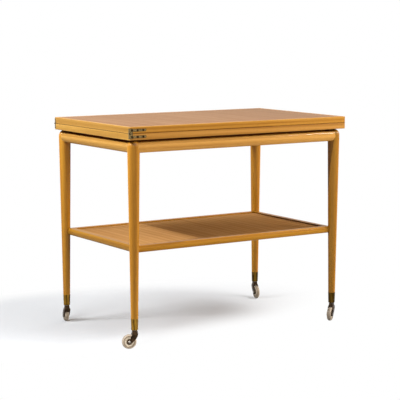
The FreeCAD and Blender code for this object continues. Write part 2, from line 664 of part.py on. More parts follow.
def fork_front():
    """Front view of the fork: a narrow neck that flares to the two arms."""
    rise = FLANGE_Z - WHEEL_RADIUS
    flare_top = WHEEL_RADIUS + FORK_FLARE_TOP * rise
    flare_foot = WHEEL_RADIUS + FORK_FLARE_FOOT * rise
    start_x = -2 * FORK_NECK_RADIUS
    end_x = 2 * FORK_NECK_RADIUS + CASTER_TRAIL + FORK_HUB_RADIUS
    right = [Vector(start_x, FORK_NECK_RADIUS, FLANGE_Z), Vector(start_x, FORK_NECK_RADIUS, flare_top),
             Vector(start_x, FORK_HALF_WIDTH, flare_foot), Vector(start_x, FORK_HALF_WIDTH, 0)]
    left = [Vector(point.x, -point.y, point.z) for point in reversed(right)]
    return prism(right + left, Vector(end_x - start_x, 0, 0))


def caster_fork():
    """Swan-neck fork with its stem. The wheel trails towards +X."""
    body = fork_side().common(fork_front())
    slot_radius = WHEEL_RADIUS + FORK_WHEEL_CLEARANCE
    axle_start = Vector(CASTER_TRAIL, -FORK_SLOT_HALF, WHEEL_RADIUS)
    slot = rod(slot_radius, axle_start, axle_start + Vector(0, 2 * FORK_SLOT_HALF, 0))
    bore = rod(AXLE_RADIUS, Vector(CASTER_TRAIL, -FORK_HALF_WIDTH, WHEEL_RADIUS),
               Vector(CASTER_TRAIL, FORK_HALF_WIDTH, WHEEL_RADIUS))
    stem_top = FERRULE_Z + SOCKET_HEIGHT - SOCKET_CAP - STEM_END_GAP
    stem_foot = FLANGE_Z - STEM_RADIUS
    stem = rod(STEM_RADIUS, Vector(0, 0, stem_foot), Vector(0, 0, stem_top - STEM_RADIUS / 2))
    tip = Part.makeCone(STEM_RADIUS, STEM_RADIUS / 2, STEM_RADIUS / 2, Vector(0, 0, stem_top - STEM_RADIUS / 2))
    return fused([body.cut(slot), stem, tip]).cut(bore)


def across_axle(shape):
    """Turning about Z laid over so that its axis is the axle."""
    shape.rotate(Vector(0, 0, 0), Vector(1, 0, 0), 90)
    shape.translate(Vector(CASTER_TRAIL, 0, WHEEL_RADIUS))
    return shape


def caster_axle():
    """Riveted axle with a domed head outside each arm."""
    shank = Part.makeCylinder(AXLE_RADIUS, 2 * FORK_HALF_WIDTH, Vector(0, 0, -FORK_HALF_WIDTH))
    heads = []
    for side in (-1, 1):
        heads.append(Part.makeCone(AXLE_HEAD_RADIUS, AXLE_HEAD_TOP_RADIUS, AXLE_HEAD_HEIGHT,
                                   Vector(0, 0, side * FORK_HALF_WIDTH), Vector(0, 0, side)))
    return across_axle(fused([shank] + heads))


def wheel_disc():
    """Moulded disc with a boss, a thin web and a rim that carries the tyre."""
    bore = AXLE_RADIUS + AXLE_CLEARANCE
    boss_half = FORK_SLOT_HALF - BOSS_CLEARANCE
    rim_in = WHEEL_DISC_RADIUS - DISC_RIM_WIDTH
    side = [
        Vector(bore, 0, boss_half),
        Vector(DISC_BOSS_RADIUS - DISC_BOSS_TAPER, 0, boss_half),
        Vector(DISC_BOSS_RADIUS, 0, DISC_WEB_HALF_WIDTH),
        Vector(rim_in, 0, DISC_WEB_HALF_WIDTH),
        Vector(rim_in, 0, DISC_RIM_HALF_WIDTH),
        Vector(WHEEL_DISC_RADIUS, 0, DISC_RIM_HALF_WIDTH),
    ]
    other_side = [Vector(point.x, 0, -point.z) for point in reversed(side)]
    points = side + other_side
    return across_axle(turning(segments(points + points[:1])))


def tyre():
    """Solid tyre with a rounded tread and a shallow groove in each side."""
    tread_start = WHEEL_RADIUS - TYRE_CROWN
    side_radius = WHEEL_DISC_RADIUS
    tread = Part.Arc(Vector(tread_start, 0, TYRE_HALF_WIDTH), Vector(WHEEL_RADIUS, 0, 0),
                     Vector(tread_start, 0, -TYRE_HALF_WIDTH)).toShape()
    walls = segments([
        Vector(tread_start, 0, -TYRE_HALF_WIDTH), Vector(side_radius, 0, -TYRE_HALF_WIDTH),
        Vector(side_radius, 0, TYRE_HALF_WIDTH), Vector(tread_start, 0, TYRE_HALF_WIDTH)])
    body = turning([tread] + walls)
    grooves = [Part.makeTorus(TYRE_GROOVE_PLACE, TYRE_GROOVE_RADIUS, Vector(0, 0, side * TYRE_HALF_WIDTH))
               for side in (-1, 1)]
    return across_axle(body.cut(grooves))


# ---------------------------------------------------------------- build

def build_frame():
    blank = leg_blank()
    leg_blanks = [placed(blank, 0, leg_axis(corner)) for corner in CORNERS]
    tenons = [tenon for side in (-1, 1) for tenon in long_tenons(side) + end_tenons(side)]
    dowels = shelf_dowels()
    bearers = [bearer(side) for side in (-1, 1)]
    braces = {corner: corner_brace(corner) for corner in CORNERS}
    brace_sets = {corner: brace_screws(corner) for corner in CORNERS}
    all_brace_screws = [screw for screws, _ in brace_sets.values() for screw in screws]
    guide_screws, guide_pockets = bearer_screws()

    sockets = []
    pins = []
    for corner, body in zip(CORNERS, leg_blanks):
        axis = leg_axis(corner)
        outward = math.degrees(math.atan2(axis.y, axis.x))
        own_pins = [placed(pin, outward, axis) for pin in ferrule_pins()]
        bore = rod(SOCKET_RADIUS, leg_axis(corner, FERRULE_Z), leg_axis(corner, FERRULE_Z + SOCKET_HEIGHT))
        export("leg_" + corner, body.cut(tenons + dowels + own_pins + [bore]))
        export("ferrule_" + corner, placed(ferrule(), 0, axis).cut(own_pins))
        sockets.append(placed(caster_socket(), 0, axis))
        pins.extend(own_pins)
    export("caster_sockets", *sockets)
    export("ferrule_pins", *pins)

    apron_cuts = bearers + all_brace_screws
    export("apron_front", long_apron(-1, leg_blanks, apron_cuts))
    export("apron_back", long_apron(1, leg_blanks, apron_cuts))
    export("apron_left", end_apron(-1, leg_blanks, apron_cuts))
    export("apron_right", end_apron(1, leg_blanks, apron_cuts))
    export("corner_braces", *[braces[corner].cut(brace_sets[corner][0] + brace_sets[corner][1])
                              for corner in CORNERS])

    export("bearer_left", bearers[0].cut(guide_screws + guide_pockets))
    export("bearer_right", bearers[1].cut(guide_screws + guide_pockets))
    export("guide_rail_front", guide_rail(-1).cut(guide_screws))
    export("guide_rail_back", guide_rail(1).cut(guide_screws))
    export("felt_strips", felt_strip(-1), felt_strip(1))
    export("slide_stops", *slide_stops())
    export("frame_screws", *(all_brace_screws + guide_screws))

    panel = shelf_panel()
    rail_cuts = [panel] + dowels
    export("shelf_rail_front", shelf_rail(LEG_X, LEG_Y, 0, leg_blanks, rail_cuts))
    export("shelf_rail_back", shelf_rail(LEG_X, LEG_Y, 180, leg_blanks, rail_cuts))
    export("shelf_rail_left", shelf_rail(LEG_Y, LEG_X, -90, leg_blanks, rail_cuts))
    export("shelf_rail_right", shelf_rail(LEG_Y, LEG_X, 90, leg_blanks, rail_cuts))
    export("shelf_panel", panel)
    export("shelf_dowels", *dowels)


def build_top():
    screws, pockets = runner_screws()
    export("runner_front", runner(-1).cut(screws + pockets))
    export("runner_back", runner(1).cut(screws + pockets))
    export("runner_screws", *screws)

    pin = hinge_pin()
    export("hinge_pins", pin, mirrored_y(pin))
    for name, up, foot_z, extra in (("lower", -1, LEAF_UNDER_Z, screws), ("upper", 1, SEAM_Z, [])):
        plate = hinge_plate(up)
        own_screws = hinge_screws(up)
        all_screws = own_screws + [mirrored_y(screw) for screw in own_screws]
        recesses = hinge_recess(up)
        cuts = recesses + [mirrored_y(recess) for recess in recesses] + all_screws + extra
        export(name + "_leaf_board", leaf_board(foot_z).cut(cuts))
        export(name + "_leaf_edging", *[strip.cut(cuts) for strip in leaf_edging(foot_z)])
        front_plate = plate.cut(own_screws)
        export(name + "_hinge_plate_front", front_plate)
        export(name + "_hinge_plate_back", mirrored_y(front_plate))
        export(name + "_hinge_screws", *all_screws)


def build_casters():
    for corner in CORNERS:
        axis = leg_axis(corner)
        turn = TRAIL_ANGLE[corner]
        export("caster_fork_" + corner, placed(caster_fork(), turn, axis))
        export("caster_axle_" + corner, placed(caster_axle(), turn, axis))
        export("wheel_disc_" + corner, placed(wheel_disc(), turn, axis))
        export("tyre_" + corner, placed(tyre(), turn, axis))


os.makedirs("parts", exist_ok=True)
build_frame()
build_top()
build_casters()
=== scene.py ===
"""Fold-over tea trolley: materials, fine shapes, light and camera round the CAD frame.

Metres, in the CAD's own frame: X along the trolley, Y across it, Z up, origin on the floor.
"""
import json
import math

import bmesh
import bpy
from mathutils import Matrix, Vector

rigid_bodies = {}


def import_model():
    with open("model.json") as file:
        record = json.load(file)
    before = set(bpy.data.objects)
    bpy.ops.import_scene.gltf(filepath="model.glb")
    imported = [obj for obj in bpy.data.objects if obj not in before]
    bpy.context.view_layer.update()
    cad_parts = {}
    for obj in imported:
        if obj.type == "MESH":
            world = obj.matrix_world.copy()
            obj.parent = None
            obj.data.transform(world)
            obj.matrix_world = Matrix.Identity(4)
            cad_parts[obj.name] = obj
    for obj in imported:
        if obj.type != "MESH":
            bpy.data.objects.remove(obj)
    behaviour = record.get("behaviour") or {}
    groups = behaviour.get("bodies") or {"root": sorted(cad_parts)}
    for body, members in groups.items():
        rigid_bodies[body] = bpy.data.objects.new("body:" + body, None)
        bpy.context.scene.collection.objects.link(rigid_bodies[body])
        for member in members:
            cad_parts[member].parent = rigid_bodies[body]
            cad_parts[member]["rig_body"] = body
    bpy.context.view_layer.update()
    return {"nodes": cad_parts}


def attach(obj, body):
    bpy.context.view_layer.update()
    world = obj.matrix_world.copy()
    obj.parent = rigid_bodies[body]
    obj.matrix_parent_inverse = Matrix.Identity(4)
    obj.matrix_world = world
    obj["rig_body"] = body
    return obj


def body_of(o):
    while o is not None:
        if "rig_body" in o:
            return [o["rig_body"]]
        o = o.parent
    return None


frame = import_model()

MM = 0.001

# ---------------------------------------------------------------- sizes, as in the CAD

HALF_LENGTH = 450 * MM
HALF_WIDTH = 268 * MM
TOP_SHIFT = 3.5 * MM
LEG_X = 419 * MM
LEG_Y = 245.5 * MM
LEG_TOP_RADIUS = 21.3 * MM
DOME_Z = 683.7 * MM                 # middle of the ball at a leg's head
SEAM_Z = 728 * MM                   # where the two leaves meet
WHEEL_RADIUS = 25 * MM
TRAIL = 18.7 * MM                   # wheel's axle behind the caster's stem

# Side along X, side along Y, and the direction of the caster's trail at rest in degrees.
CORNERS = {
    "front_left": (-1, -1, 159.0),
    "front_right": (1, -1, -142.0),
    "back_left": (-1, 1, 74.0),
    "back_right": (1, 1, -107.0),
}

# ---------------------------------------------------------------- sizes of the scene's own pieces

WELD_REACH = 0.002 * MM
SHARP_ANGLE = 35.0
CROWN_Z = 686 * MM                  # a leg is polished above this
FLAT_TOP = 0.98                     # upward part of the normal of an apron's flat top
PLATE_FACING = 0.99                 # outward part of the normal of a hinge plate's face
PLATE_TOLERANCE = 0.3 * MM
PLATE_LINE_WIDTH = 1.0 * MM
LINE_PROUD = 0.03 * MM
SEAM_WIDTH = 0.4 * MM
MITRE_PROUD = 0.06 * MM
# Turn round the leg and tilt in degrees, half width in mm, from the top of the dome down.
MITRE = ((44, 62, 1.6), (45, 50, 1.7), (47, 38, 1.6), (49, 26, 1.3), (51, 14, 0.9), (53, 3, 0.25))
BLOCK_BEVEL = 0.8 * MM
# Faces of a block whose corners are counted in z first, then in y, then in x.
BLOCK_FACES = ((0, 1, 3, 2), (4, 6, 7, 5), (0, 4, 5, 1), (2, 3, 7, 6), (0, 2, 6, 4), (1, 5, 7, 3))
# Lowest and highest corner in mm.
SHADE_BLOCKS = {
    "shade_block_front": ((-413.9, -134.5, 686.0), (-404.0, -114.0, 704.0)),
    "shade_block_back": ((-413.9, 114.0, 686.0), (-404.0, 134.5, 704.0)),
}
# Distances from the trolley's middle and heights in mm, alike at the four corners.
CORNER_BLOCK_X = (400.0, 411.5)
CORNER_BLOCK_Y = (220.0, 243.0)
CORNER_BLOCK_Z = (692.0, 704.6)


# ---------------------------------------------------------------- shader helpers

def new_tree(name):
    material = bpy.data.materials.new(name)
    material.use_nodes = True
    material.node_tree.nodes.clear()
    return material, material.node_tree


def add(tree, kind, inputs=None, **settings):
    """One node; its inputs take a value, or the output of another node."""
    node = tree.nodes.new("ShaderNode" + kind)
    for key, value in settings.items():
        setattr(node, key, value)
    for key, value in (inputs or {}).items():
        if isinstance(value, bpy.types.NodeSocket):
            tree.links.new(value, node.inputs[key])
        else:
            node.inputs[key].default_value = value
    return node


def ramp(tree, fac, stops):
    node = add(tree, "ValToRGB", {"Fac": fac})
    elements = node.color_ramp.elements
    while len(elements) < len(stops):
        elements.new(0.5)
    for element, (place, colour) in zip(elements, stops):
        element.position = place
        element.color = (*colour, 1) if isinstance(colour, tuple) else (colour, colour, colour, 1)
    return node.outputs["Color"]


def math_node(tree, operation, first, second):
    return add(tree, "Math", {0: first, 1: second}, operation=operation).outputs[0]


def vector_node(tree, operation, first, second, output=0):
    return add(tree, "VectorMath", {0: first, 1: second}, operation=operation).outputs[output]


def length_of(tree, vector):
    return add(tree, "VectorMath", {0: vector}, operation="LENGTH").outputs["Value"]


def mix_colour(tree, fac, first, second, blend="MIX"):
    """Mix of two colours; sockets 0, 6, 7 and 2 are the node's Factor, A, B and Result for colours."""
    node = add(tree, "Mix", data_type="RGBA", blend_type=blend)
    for index, value in ((0, fac), (6, first), (7, second)):
        if isinstance(value, bpy.types.NodeSocket):
            tree.links.new(value, node.inputs[index])
        elif isinstance(value, tuple):
            node.inputs[index].default_value = (*value, 1)
        else:
            node.inputs[index].default_value = value
    return node.outputs[2]


def object_place(tree):
    return add(tree, "TexCoord").outputs["Object"]


def stretched(tree, place, scale, offset=(0, 0, 0)):
    return add(tree, "Mapping", {"Vector": place, "Location": offset, "Scale": scale}).outputs[0]


def noise(tree, place, detail=3.0, roughness=0.55, distortion=0.0):
    return add(tree, "TexNoise", {"Vector": place, "Scale": 1.0, "Detail": detail,
                                  "Roughness": roughness, "Distortion": distortion}).outputs["Fac"]


def even_noise(tree, place, scale, detail=3.0, roughness=0.55):
    """Noise of one scale in all directions."""
    return noise(tree, stretched(tree, place, (scale,) * 3), detail, roughness)


def spread_over(tree, value, low, high):
    """A value from 0 to 1, spread over another range."""
    return add(tree, "MapRange", {"Value": value, "To Min": low, "To Max": high}).outputs[0]


def painted_hollow_shade(tree, colour, reach, open_at, shade_tone):
    """Painted shade in seams, narrow gaps and under overhangs, where ambient occlusion finds little free
    room.
    """
    shelter = add(tree, "AmbientOcclusion", {"Distance": reach}, samples=6).outputs["AO"]
    unshaded = add(tree, "MapRange", {"Value": shelter, "From Min": 0.22, "From Max": open_at}).outputs[0]
    return mix_colour(tree, unshaded, shade_tone, colour)


def finish(material, tree, shader):
    tree.links.new(shader.outputs[0], add(tree, "OutputMaterial").inputs["Surface"])
    return material


# ---------------------------------------------------------------- kinds of material

def along(axis, lengthwise, across):
    """Texture scale that is low along the grain axis and high across it."""
    return tuple(lengthwise if letter == axis else across for letter in "XYZ")


def shaded(tones, shade):
    return [tuple(part * shade for part in tone) for tone in tones]


def wood(name, axis, light, middle, dark, seed, coat, level, gloss=0.38, figure=0.5, fineness=1.0,
         contrast=1.0, coat_rough=0.15, shelter=14 * MM, open_at=0.60, shade_tone=0.20):
    """Varnished wood with its grain along one axis: broad figure, fibres and short dark pores.

    `level` is the specular level under the coat. Painted shade darkens the colour where less than
    `open_at` of the room within `shelter` is free, down to the dark tone times the given brightness.
    """
    material, tree = new_tree(name)
    place = object_place(tree)
    offset = (seed, seed * 0.37, seed * 0.71)
    warp = noise(tree, stretched(tree, place, along(axis, 1.6, 9.0), offset), 2.0)
    broad = noise(tree, stretched(tree, place, along(axis, 1.3, 34.0 * fineness), offset), 4.0, 0.6, 0.4)
    fibre = noise(tree, stretched(tree, place, along(axis, 7.0, 330.0 * fineness), offset), 4.0, 0.6)
    pores = noise(tree, stretched(tree, place, along(axis, 55.0, 1300.0), offset), 2.0, 0.5)
    rings = add(tree, "TexWave", {
        "Vector": stretched(tree, place, along(axis, 0.25, 14.0 * fineness), offset), "Scale": 1.0,
        "Distortion": 6.0, "Detail": 3.0, "Detail Scale": 0.7, "Detail Roughness": 0.6,
    }, wave_type="BANDS", bands_direction="DIAGONAL").outputs["Fac"]

    tone = math_node(tree, "MULTIPLY", broad, figure)
    centre = figure
    for part, share in ((fibre, 0.34), (rings, 0.16), (warp, 0.20)):
        tone = math_node(tree, "ADD", tone, math_node(tree, "MULTIPLY", part, share))
        centre += share
    # The sum of the four lies about the middle of its range.
    centre /= 2
    spread = 0.16 / contrast
    colour = ramp(tree, tone, ((centre - spread, dark), (centre, middle), (centre + spread, light)))
    pore_mask = ramp(tree, pores, ((0.60, 0.0), (0.70, 1.0)))
    colour = mix_colour(tree, math_node(tree, "MULTIPLY", pore_mask, 0.3), colour,
                        tuple(part * 0.45 for part in dark))
    # Painted shade where little room round the surface is free.
    colour = painted_hollow_shade(tree, colour, shelter, open_at, tuple(part * shade_tone for part in dark))

    height = math_node(tree, "SUBTRACT", math_node(tree, "MULTIPLY", fibre, 0.5), pore_mask)
    bump = add(tree, "Bump", {"Height": height, "Strength": 0.12, "Distance": 0.12 * MM})
    film = add(tree, "Bump", {"Height": warp, "Strength": 0.05, "Distance": 0.4 * MM})
    shader = add(tree, "BsdfPrincipled", {
        "Base Color": colour, "Roughness": spread_over(tree, fibre, gloss - 0.05, gloss + 0.09),
        "Normal": bump.outputs[0], "Coat Weight": coat, "Coat Roughness": coat_rough,
        "Coat Normal": film.outputs[0], "Specular IOR Level": level})
    return finish(material, tree, shader)


def metal(name, light, dark, rough, patina_scale, brushed=None, metallic=1.0, streak=1.0):
    """Metal with cloudy patina, fine scratches and, where an axis is given, brush marks along it."""
    material, tree = new_tree(name)
    place = object_place(tree)
    drawn = along(brushed, patina_scale * streak, patina_scale)
    cloud = noise(tree, stretched(tree, place, drawn), 5.0, 0.65, 0.3)
    speck = even_noise(tree, place, patina_scale * 14, 2.0)
    tone = math_node(tree, "ADD", math_node(tree, "MULTIPLY", cloud, 0.75),
                     math_node(tree, "MULTIPLY", speck, 0.25))
    colour = ramp(tree, tone, ((0.42, dark), (0.57, light)))
    lines = stretched(tree, place, along(brushed, 40.0, 2600.0) if brushed else (1500.0,) * 3)
    scratches = noise(tree, lines, 2.0)
    rough_node = add(tree, "MapRange", {"Value": cloud, "From Min": 0.3, "From Max": 0.7,
                                        "To Min": rough + 0.14, "To Max": rough - 0.06})
    bump = add(tree, "Bump", {"Height": scratches, "Strength": 0.10, "Distance": 0.05 * MM})
    shader = add(tree, "BsdfPrincipled", {
        "Base Color": colour, "Metallic": metallic, "Roughness": rough_node.outputs[0],
        "Normal": bump.outputs[0]})
    return finish(material, tree, shader)


def turned(name, centre, axle, rings, rough):
    """Moulded wheel material whose colour follows the rings round its axle, with clouding and dirt."""
    material, tree = new_tree(name)
    place = object_place(tree)
    arm = vector_node(tree, "SUBTRACT", place, centre)
    radius = length_of(tree, vector_node(tree, "CROSS_PRODUCT", arm, axle))
    cloud = even_noise(tree, place, 130.0, 4.0, 0.6)
    skin = even_noise(tree, place, 2200.0, 2.0)
    colour = ramp(tree, math_node(tree, "DIVIDE", radius, WHEEL_RADIUS),
                  tuple((ring * MM / WHEEL_RADIUS, tint) for ring, tint in rings))
    dirt = ramp(tree, cloud, ((0.42, (0.80, 0.77, 0.73)), (0.58, (1.0, 1.0, 1.0))))
    colour = mix_colour(tree, 1.0, colour, dirt, "MULTIPLY")
    bump = add(tree, "Bump", {"Height": skin, "Strength": 0.2, "Distance": 0.04 * MM})
    shader = add(tree, "BsdfPrincipled", {
        "Base Color": colour, "Roughness": spread_over(tree, skin, rough - 0.06, rough + 0.08),
        "Normal": bump.outputs[0], "Specular IOR Level": 0.35})
    return finish(material, tree, shader)


def felted(name, light, dark):
    """Short felt without gloss."""
    material, tree = new_tree(name)
    fuzz = even_noise(tree, object_place(tree), 900.0, 5.0, 0.7)
    colour = ramp(tree, fuzz, ((0.35, dark), (0.65, light)))
    bump = add(tree, "Bump", {"Height": fuzz, "Strength": 0.5, "Distance": 0.3 * MM})
    shader = add(tree, "BsdfPrincipled", {"Base Color": colour, "Roughness": 0.95,
                                          "Normal": bump.outputs[0], "Sheen Weight": 0.3})
    return finish(material, tree, shader)


def dull_dark_line(name, light, dark):
    """Dull dark colour for a line in a joint, a little uneven: dirt in some joints, painted shade in
    others.
    """
    material, tree = new_tree(name)
    cloud = even_noise(tree, object_place(tree), 400.0)
    colour = ramp(tree, cloud, ((0.40, dark), (0.60, light)))
    shader = add(tree, "BsdfPrincipled", {"Base Color": colour,
                                          "Roughness": spread_over(tree, cloud, 0.6, 0.9),
                                          "Specular IOR Level": 0.1})
    return finish(material, tree, shader)


# ---------------------------------------------------------------- colours and materials

# Light, middle and dark tone of each wood.
APRON_X = ((0.930, 0.495, 0.125), (0.785, 0.385, 0.074), (0.550, 0.230, 0.033))
APRON_Y = ((0.880, 0.472, 0.122), (0.725, 0.362, 0.070), (0.500, 0.210, 0.029))
UPPER_EDGING_X = ((0.720, 0.345, 0.054), (0.590, 0.260, 0.031), (0.355, 0.130, 0.011))
UPPER_EDGING_Y = ((0.695, 0.355, 0.070), (0.565, 0.269, 0.040), (0.343, 0.134, 0.015))
LOWER_EDGING_X = ((0.740, 0.362, 0.080), (0.606, 0.278, 0.050), (0.380, 0.146, 0.020))
LOWER_EDGING_Y = ((0.830, 0.445, 0.098), (0.680, 0.348, 0.058), (0.440, 0.184, 0.024))
RAIL_X = ((0.635, 0.292, 0.030), (0.513, 0.220, 0.016), (0.339, 0.121, 0.007))
RAIL_Y = ((0.575, 0.270, 0.028), (0.465, 0.204, 0.015), (0.307, 0.112, 0.006))
LEG = ((0.650, 0.302, 0.037), (0.535, 0.231, 0.020), (0.350, 0.127, 0.009))
# The top's veneer is a darker copy of the shelf's veneer: painted shade that offsets the top's stronger
# light and sheen.
TOP_VENEER = ((0.436, 0.230, 0.105), (0.369, 0.184, 0.074), (0.288, 0.130, 0.046))
SHELF_VENEER = ((0.608, 0.327, 0.126), (0.516, 0.262, 0.090), (0.402, 0.185, 0.056))
STAINED = ((0.170, 0.070, 0.018), (0.120, 0.047, 0.011), (0.068, 0.026, 0.005))
# Tone of the aprons' flat tops in the slot under the leaf: darker than the aprons, as painted shade.
SHADED_APRON_TOP = ((0.480, 0.165, 0.020), (0.360, 0.115, 0.012), (0.210, 0.062, 0.006))
# Light and dark tone of the aged brass.
FERRULE = ((0.340, 0.180, 0.024), (0.065, 0.032, 0.005))
# Radius in mm and colour. The dark rings at 17.3 mm, where the disc meets the tyre, and at 19.9 mm, in the
# tyre's groove, are painted shade.
DISC_RINGS = ((8.0, (0.16, 0.115, 0.065)), (9.8, (0.22, 0.165, 0.10)), (10.8, (0.84, 0.72, 0.57)),
              (14.8, (0.88, 0.78, 0.63)), (16.2, (0.62, 0.52, 0.40)), (17.3, (0.24, 0.185, 0.13)))
TYRE_RINGS = ((17.3, (0.24, 0.18, 0.13)), (18.2, (0.46, 0.365, 0.275)), (19.3, (0.405, 0.32, 0.24)),
              (19.9, (0.25, 0.185, 0.13)), (20.8, (0.57, 0.465, 0.365)), (23.6, (0.605, 0.50, 0.395)),
              (25.0, (0.40, 0.325, 0.25)))
# Pieces of a wheel, their material, its rings and its roughness.
WHEEL_PIECES = (("wheel_disc_", "cream_plastic_", DISC_RINGS, 0.42),
                ("tyre_", "tyre_rubber_", TYRE_RINGS, 0.5))

# How light the pieces of each corner are. This is painted light and shade: darker where a corner lies in
# shadow, lighter at the lit front left corner.
LEG_SHADE = {"front_left": 1.05, "front_right": 0.84, "back_left": 0.94, "back_right": 1.0}
FERRULE_SHADE = {"front_left": 1.35, "front_right": 0.32, "back_left": 0.95, "back_right": 0.55}
WHEEL_SHADE = {"front_left": 1.10, "front_right": 0.68, "back_left": 0.82, "back_right": 0.88}
WHEEL_TINT = (1.0, 0.98, 0.93)

EDGING_STYLE = dict(figure=0.3, fineness=2.4, contrast=0.8, coat=0.08, level=0.08, shelter=4 * MM)
# The aprons' long reach darkens their rounded tops under the leaf's overhang: painted shadow.
APRON_STYLE = dict(figure=0.3, fineness=2.4, contrast=0.7, level=0.0, shelter=50 * MM, open_at=0.85)
RAIL_STYLE = dict(figure=0.3, fineness=2.4, contrast=0.8, coat=0.05, level=0.1)
VENEER_STYLE = dict(fineness=1.6, level=0.0)
BARE_STYLE = dict(gloss=0.55, coat=0.0, level=0.0, shelter=1 * MM)
LEG_STYLE = dict(seed=21.3, fineness=1.8, contrast=0.6, level=0.0)

upper_edging_x = wood("upper_edging_along_x", "X", *UPPER_EDGING_X, seed=1.7, **EDGING_STYLE)
upper_edging_y = wood("upper_edging_along_y", "Y", *UPPER_EDGING_Y, seed=4.1, **EDGING_STYLE)
lower_edging_x = wood("lower_edging_along_x", "X", *LOWER_EDGING_X, seed=1.7, **EDGING_STYLE)
lower_edging_y = wood("lower_edging_along_y", "Y", *LOWER_EDGING_Y, seed=4.1, **EDGING_STYLE)
top_veneer = wood("leaf_veneer", "Y", *TOP_VENEER, seed=2.3, contrast=0.7, coat=0.18, **VENEER_STYLE)
apron_x = wood("apron_along_x", "X", *APRON_X, seed=7.9, coat=0.4, coat_rough=0.12, **APRON_STYLE)
apron_y = wood("apron_along_y", "Y", *APRON_Y, seed=9.2, coat=0.2, shade_tone=0.60, **APRON_STYLE)
rail_x = wood("shelf_rail_along_x", "X", *RAIL_X, seed=12.4, **RAIL_STYLE)
rail_y = wood("shelf_rail_along_y", "Y", *RAIL_Y, seed=15.8, **RAIL_STYLE)
shelf_veneer = wood("shelf_veneer", "Y", *SHELF_VENEER, seed=18.6, contrast=0.55, coat=0.0, **VENEER_STYLE)
stained_x = wood("stained_beech_along_x", "X", *STAINED, seed=25.0, **BARE_STYLE)
stained_y = wood("stained_beech_along_y", "Y", *STAINED, seed=28.0, **BARE_STYLE)
shaded_apron_top_x = wood("shaded_apron_top_along_x", "X", *SHADED_APRON_TOP, seed=7.9, **BARE_STYLE)
shaded_apron_top_y = wood("shaded_apron_top_along_y", "Y", *SHADED_APRON_TOP, seed=9.2, **BARE_STYLE)
hinge_brass = metal("hinge_brass", (0.34, 0.235, 0.095), (0.12, 0.078, 0.026), 0.30, 240.0, "X")
hinge_dark = metal("hinge_screw_brass", (0.070, 0.040, 0.014), (0.020, 0.011, 0.004), 0.45, 200.0)
bronze = metal("dark_bronze", (0.070, 0.038, 0.017), (0.022, 0.012, 0.005), 0.42, 80.0, metallic=0.85)
screw_steel = metal("screw_steel", (0.50, 0.49, 0.47), (0.30, 0.29, 0.27), 0.35, 120.0)
bright_steel = metal("bright_steel", (0.38, 0.34, 0.295), (0.22, 0.195, 0.165), 0.34, 150.0)
felt = felted("green_felt", (0.035, 0.075, 0.045), (0.018, 0.042, 0.024))
# Dirt round the hinge plates, and dirt with painted shade in the seam between the leaves.
joint_dirt_and_shade = dull_dark_line("joint_dirt_and_shade", (0.055, 0.030, 0.010), (0.020, 0.010, 0.003))
# The mitre lines' colour is painted shade in the crease.
mitre_shade = dull_dark_line("mitre_shade", (0.230, 0.075, 0.010), (0.140, 0.040, 0.004))


# ---------------------------------------------------------------- CAD pieces keep their shape

def dress(node, *materials):
    """A CAD piece gets its materials and smooth shading of its curved faces."""
    obj = frame["nodes"][node]
    mesh = obj.data
    mesh.materials.clear()
    for material in materials:
        mesh.materials.append(material)
    for face in mesh.polygons:
        face.use_smooth = True
    weld = obj.modifiers.new("weld", "WELD")
    weld.merge_threshold = WELD_REACH
    split = obj.modifiers.new("sharp_edges", "EDGE_SPLIT")
    split.split_angle = math.radians(SHARP_ANGLE)


def second_material(node, has_it):
    """Those faces of a CAD piece that pass the test get its second material."""
    for face in frame["nodes"][node].data.polygons:
        face.material_index = 1 if has_it(face) else 0


def on_end_strip(face):
    """On the edging strips that run across the trolley, as far as the mitres."""
    return abs(face.center.x - TOP_SHIFT) - HALF_LENGTH > abs(face.center.y) - HALF_WIDTH


def on_flat_top(face):
    """On the flat top of an apron in the narrow slot under the leaf, which is left unpolished and made
    darker as painted shade.
    """
    return face.normal.z > FLAT_TOP


def on_crown(face):
    """On the domed head of a leg, which is rubbed bright."""
    return face.center.z > CROWN_Z


for side in ("front", "back"):
    dress("apron_" + side, apron_x, shaded_apron_top_x)
    second_material("apron_" + side, on_flat_top)
    dress("shelf_rail_" + side, rail_x)
    dress("guide_rail_" + side, stained_x)
    dress("runner_" + side, stained_x)
    for leaf in ("lower", "upper"):
        dress(f"{leaf}_hinge_plate_{side}", hinge_brass)
for side in ("left", "right"):
    dress("apron_" + side, apron_y, shaded_apron_top_y)
    second_material("apron_" + side, on_flat_top)
    dress("shelf_rail_" + side, rail_y)
    dress("bearer_" + side, stained_y)
dress("lower_leaf_edging", lower_edging_x, lower_edging_y)
dress("upper_leaf_edging", upper_edging_x, upper_edging_y)
for leaf in ("lower", "upper"):
    dress(leaf + "_leaf_board", top_veneer)
    second_material(leaf + "_leaf_edging", on_end_strip)
    dress(leaf + "_hinge_screws", hinge_dark)
for node, material in (("shelf_panel", shelf_veneer), ("corner_braces", stained_x),
                       ("slide_stops", stained_x), ("shelf_dowels", stained_x), ("felt_strips", felt),
                       ("frame_screws", screw_steel), ("runner_screws", screw_steel),
                       ("hinge_pins", hinge_dark), ("caster_sockets", screw_steel),
                       ("ferrule_pins", hinge_brass)):
    dress(node, material)
